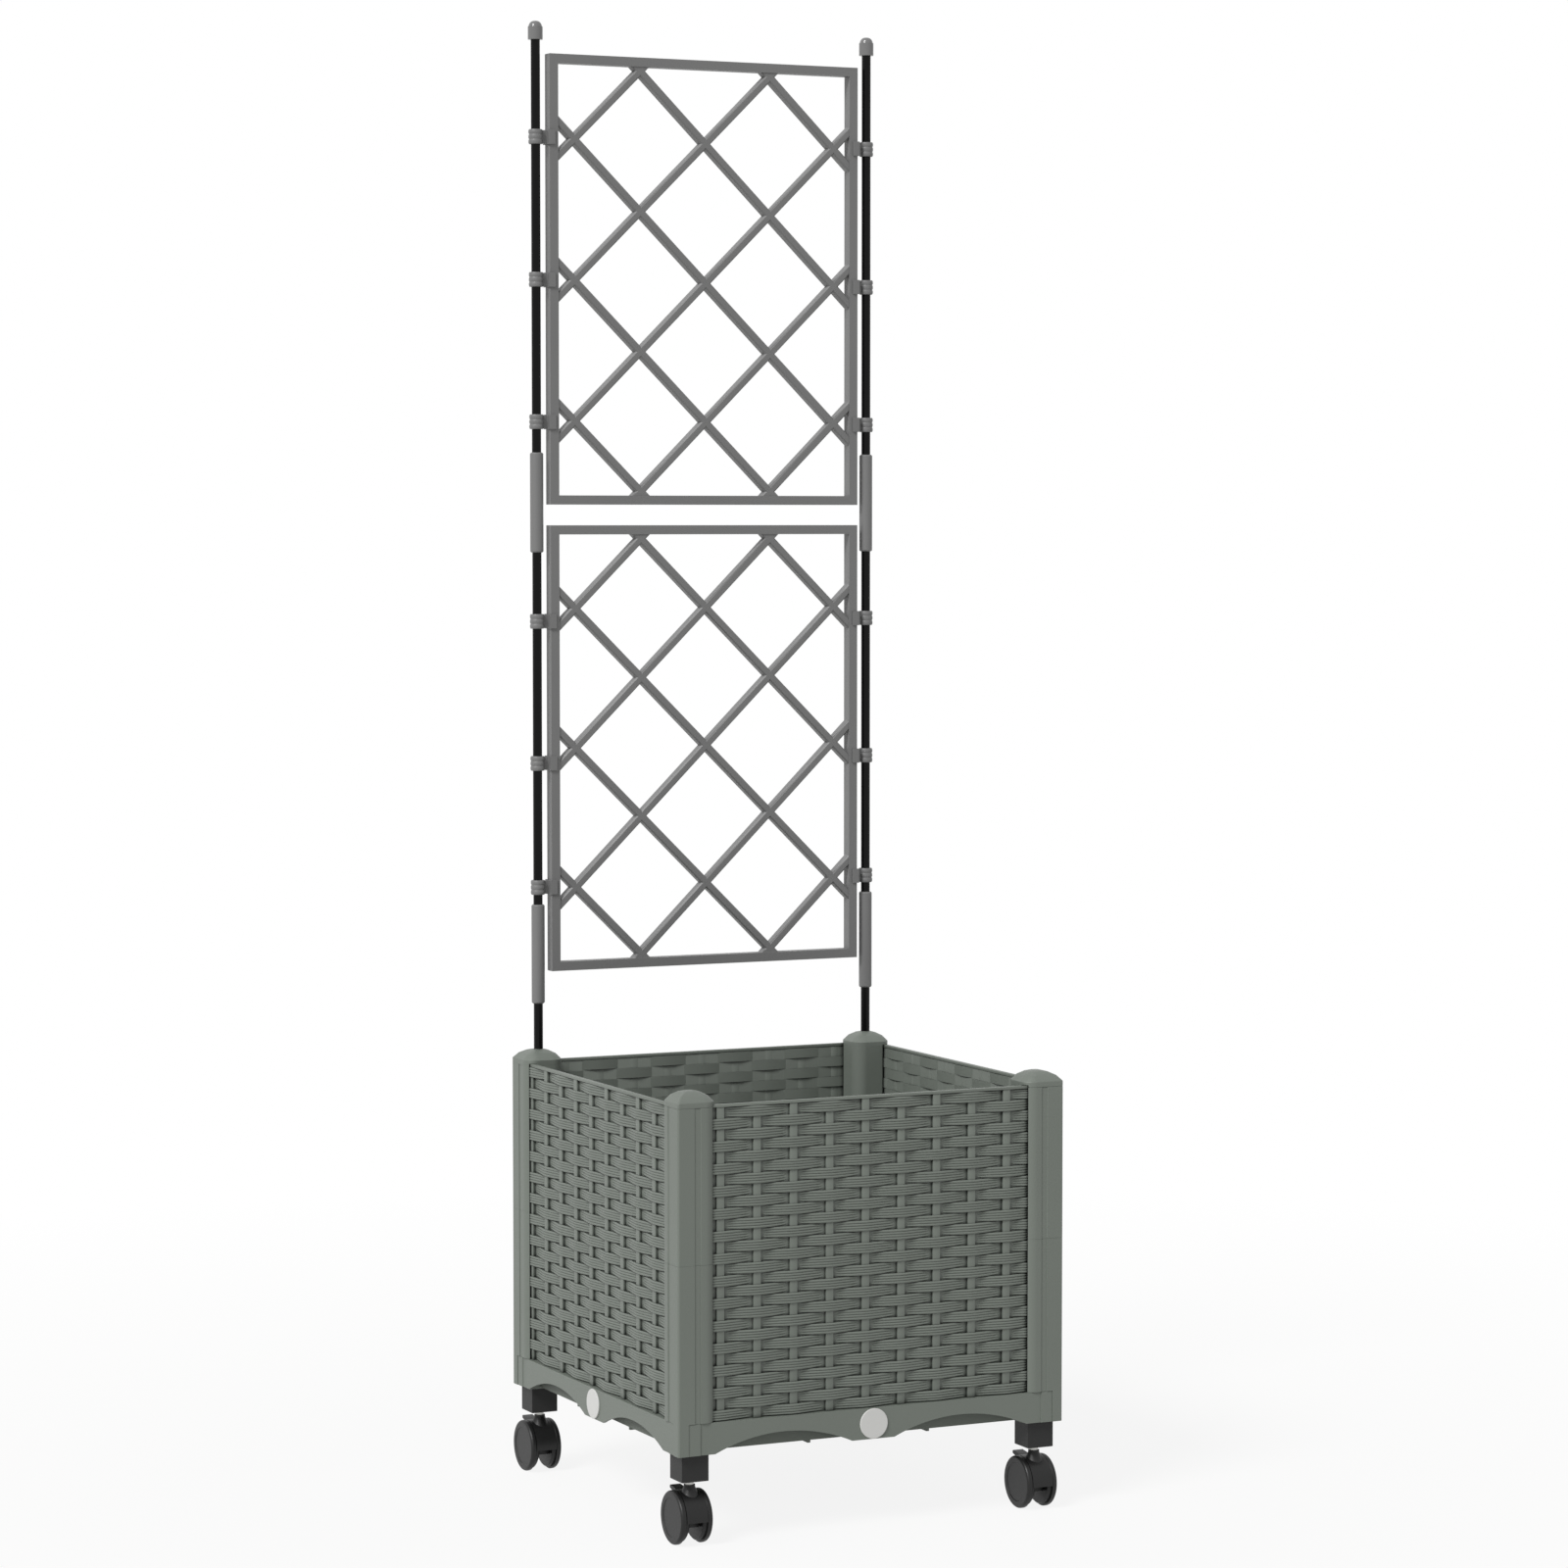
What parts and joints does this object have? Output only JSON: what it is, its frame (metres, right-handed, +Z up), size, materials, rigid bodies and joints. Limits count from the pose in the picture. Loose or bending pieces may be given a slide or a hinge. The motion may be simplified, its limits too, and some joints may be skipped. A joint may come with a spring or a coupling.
{
  "type": "planter with trellis",
  "caption": "Square planter box with woven-look side panels, round-cornered posts, arched skirts and swivel casters, with a lattice trellis clipped to two rods on its rear posts.",
  "frame": {"origin": "on the floor, under the middle of the square box", "axes": "+Z up, -Y towards the planter's front, the trellis stands at the +Y side, +X to the right as seen from the front"},
  "size_m": [0.4, 0.4125, 1.425],
  "materials": {
    "tray_plastic": "fine matt moulded polypropylene",
    "panel_plastic": "satin moulded polypropylene with a woven relief",
    "skirt_plastic": "satin moulded polypropylene",
    "post_plastic": "satin moulded polypropylene",
    "button_plastic": "smooth pale moulded plastic, blank",
    "socket_plastic": "matt black moulded plastic",
    "caster_plastic": "satin black moulded nylon",
    "wheel_plastic": "satin black moulded nylon",
    "caster_steel": "bright zinc-plated steel",
    "rod_coating": "glossy black coating on thin steel tube",
    "trellis_plastic": "satin moulded polypropylene, neutral grey",
    "end_cap_plastic": "glossy moulded plastic, neutral grey"
  },
  "bodies": {
    "planter": {"base_tray": "tray_plastic", "woven_panel_front": "panel_plastic", "skirt_front": "skirt_plastic", "woven_panel_right": "panel_plastic", "skirt_right": "skirt_plastic", "woven_panel_back": "panel_plastic", "skirt_back": "skirt_plastic", "woven_panel_left": "panel_plastic", "skirt_left": "skirt_plastic", "skirt_buttons": "button_plastic", "post_lower_front_left": "post_plastic", "post_upper_front_left": "post_plastic", "post_lower_front_right": "post_plastic", "post_upper_front_right": "post_plastic", "post_lower_rear_right": "post_plastic", "post_upper_rear_right": "post_plastic", "post_lower_rear_left": "post_plastic", "post_upper_rear_left": "post_plastic", "post_caps_front": "post_plastic", "post_caps_rear": "post_plastic", "caster_sockets": "socket_plastic", "caster_front_left_stem": "caster_steel", "caster_front_right_stem": "caster_steel", "caster_rear_right_stem": "caster_steel", "caster_rear_left_stem": "caster_steel", "rod_lower_left": "rod_coating", "rod_middle_left": "rod_coating", "rod_upper_left": "rod_coating", "rod_sleeves_left": "trellis_plastic", "trellis_clips_left": "trellis_plastic", "rod_lower_right": "rod_coating", "rod_middle_right": "rod_coating", "rod_upper_right": "rod_coating", "rod_sleeves_right": "trellis_plastic", "trellis_clips_right": "trellis_plastic", "rod_end_caps": "end_cap_plastic", "trellis_panel_lower": "trellis_plastic", "trellis_panel_upper": "trellis_plastic"},
    "caster_front_left_swivel": {"caster_front_left_housing": "caster_plastic", "caster_front_left_axle": "caster_steel"},
    "caster_front_left_wheel_left": {"caster_front_left_wheel_left": "wheel_plastic"},
    "caster_front_left_wheel_right": {"caster_front_left_wheel_right": "wheel_plastic"},
    "caster_front_left_brake_lever": {"caster_front_left_brake_lever": "caster_plastic"},
    "caster_front_right_swivel": {"caster_front_right_housing": "caster_plastic", "caster_front_right_axle": "caster_steel"},
    "caster_front_right_wheel_left": {"caster_front_right_wheel_left": "wheel_plastic"},
    "caster_front_right_wheel_right": {"caster_front_right_wheel_right": "wheel_plastic"},
    "caster_front_right_brake_lever": {"caster_front_right_brake_lever": "caster_plastic"},
    "caster_rear_right_swivel": {"caster_rear_right_housing": "caster_plastic", "caster_rear_right_axle": "caster_steel"},
    "caster_rear_right_wheel_left": {"caster_rear_right_wheel_left": "wheel_plastic"},
    "caster_rear_right_wheel_right": {"caster_rear_right_wheel_right": "wheel_plastic"},
    "caster_rear_right_brake_lever": {"caster_rear_right_brake_lever": "caster_plastic"},
    "caster_rear_left_swivel": {"caster_rear_left_housing": "caster_plastic", "caster_rear_left_axle": "caster_steel"},
    "caster_rear_left_wheel_left": {"caster_rear_left_wheel_left": "wheel_plastic"},
    "caster_rear_left_wheel_right": {"caster_rear_left_wheel_right": "wheel_plastic"},
    "caster_rear_left_brake_lever": {"caster_rear_left_brake_lever": "caster_plastic"}
  },
  "joints": [
    {"name": "front_left_swivel", "type": "hinge", "parent": "planter", "child": "caster_front_left_swivel", "pos_m": [-0.18, -0.18, 0.05], "axis": [0, 0, 1], "continuous": true},
    {"name": "front_left_wheel_left", "type": "hinge", "parent": "caster_front_left_swivel", "child": "caster_front_left_wheel_left", "pos_m": [-0.18, -0.174, 0.025], "axis": [1, 0, 0], "continuous": true},
    {"name": "front_left_wheel_right", "type": "hinge", "parent": "caster_front_left_swivel", "child": "caster_front_left_wheel_right", "pos_m": [-0.18, -0.174, 0.025], "axis": [1, 0, 0], "continuous": true},
    {"name": "front_left_brake", "type": "hinge", "parent": "caster_front_left_swivel", "child": "caster_front_left_brake_lever", "pos_m": [-0.18, -0.16099, 0.03801], "axis": [1, 0, 0], "range_deg": [-12, 0]},
    {"name": "front_right_swivel", "type": "hinge", "parent": "planter", "child": "caster_front_right_swivel", "pos_m": [0.18, -0.18, 0.05], "axis": [0, 0, 1], "continuous": true},
    {"name": "front_right_wheel_left", "type": "hinge", "parent": "caster_front_right_swivel", "child": "caster_front_right_wheel_left", "pos_m": [0.18, -0.174, 0.025], "axis": [1, 0, 0], "continuous": true},
    {"name": "front_right_wheel_right", "type": "hinge", "parent": "caster_front_right_swivel", "child": "caster_front_right_wheel_right", "pos_m": [0.18, -0.174, 0.025], "axis": [1, 0, 0], "continuous": true},
    {"name": "front_right_brake", "type": "hinge", "parent": "caster_front_right_swivel", "child": "caster_front_right_brake_lever", "pos_m": [0.18, -0.16099, 0.03801], "axis": [1, 0, 0], "range_deg": [-12, 0]},
    {"name": "rear_right_swivel", "type": "hinge", "parent": "planter", "child": "caster_rear_right_swivel", "pos_m": [0.18, 0.18, 0.05], "axis": [0, 0, 1], "continuous": true},
    {"name": "rear_right_wheel_left", "type": "hinge", "parent": "caster_rear_right_swivel", "child": "caster_rear_right_wheel_left", "pos_m": [0.18, 0.186, 0.025], "axis": [1, 0, 0], "continuous": true},
    {"name": "rear_right_wheel_right", "type": "hinge", "parent": "caster_rear_right_swivel", "child": "caster_rear_right_wheel_right", "pos_m": [0.18, 0.186, 0.025], "axis": [1, 0, 0], "continuous": true},
    {"name": "rear_right_brake", "type": "hinge", "parent": "caster_rear_right_swivel", "child": "caster_rear_right_brake_lever", "pos_m": [0.18, 0.19901, 0.03801], "axis": [1, 0, 0], "range_deg": [-12, 0]},
    {"name": "rear_left_swivel", "type": "hinge", "parent": "planter", "child": "caster_rear_left_swivel", "pos_m": [-0.18, 0.18, 0.05], "axis": [0, 0, 1], "continuous": true},
    {"name": "rear_left_wheel_left", "type": "hinge", "parent": "caster_rear_left_swivel", "child": "caster_rear_left_wheel_left", "pos_m": [-0.18, 0.186, 0.025], "axis": [1, 0, 0], "continuous": true},
    {"name": "rear_left_wheel_right", "type": "hinge", "parent": "caster_rear_left_swivel", "child": "caster_rear_left_wheel_right", "pos_m": [-0.18, 0.186, 0.025], "axis": [1, 0, 0], "continuous": true},
    {"name": "rear_left_brake", "type": "hinge", "parent": "caster_rear_left_swivel", "child": "caster_rear_left_brake_lever", "pos_m": [-0.18, 0.19901, 0.03801], "axis": [1, 0, 0], "range_deg": [-12, 0]}
  ]
}
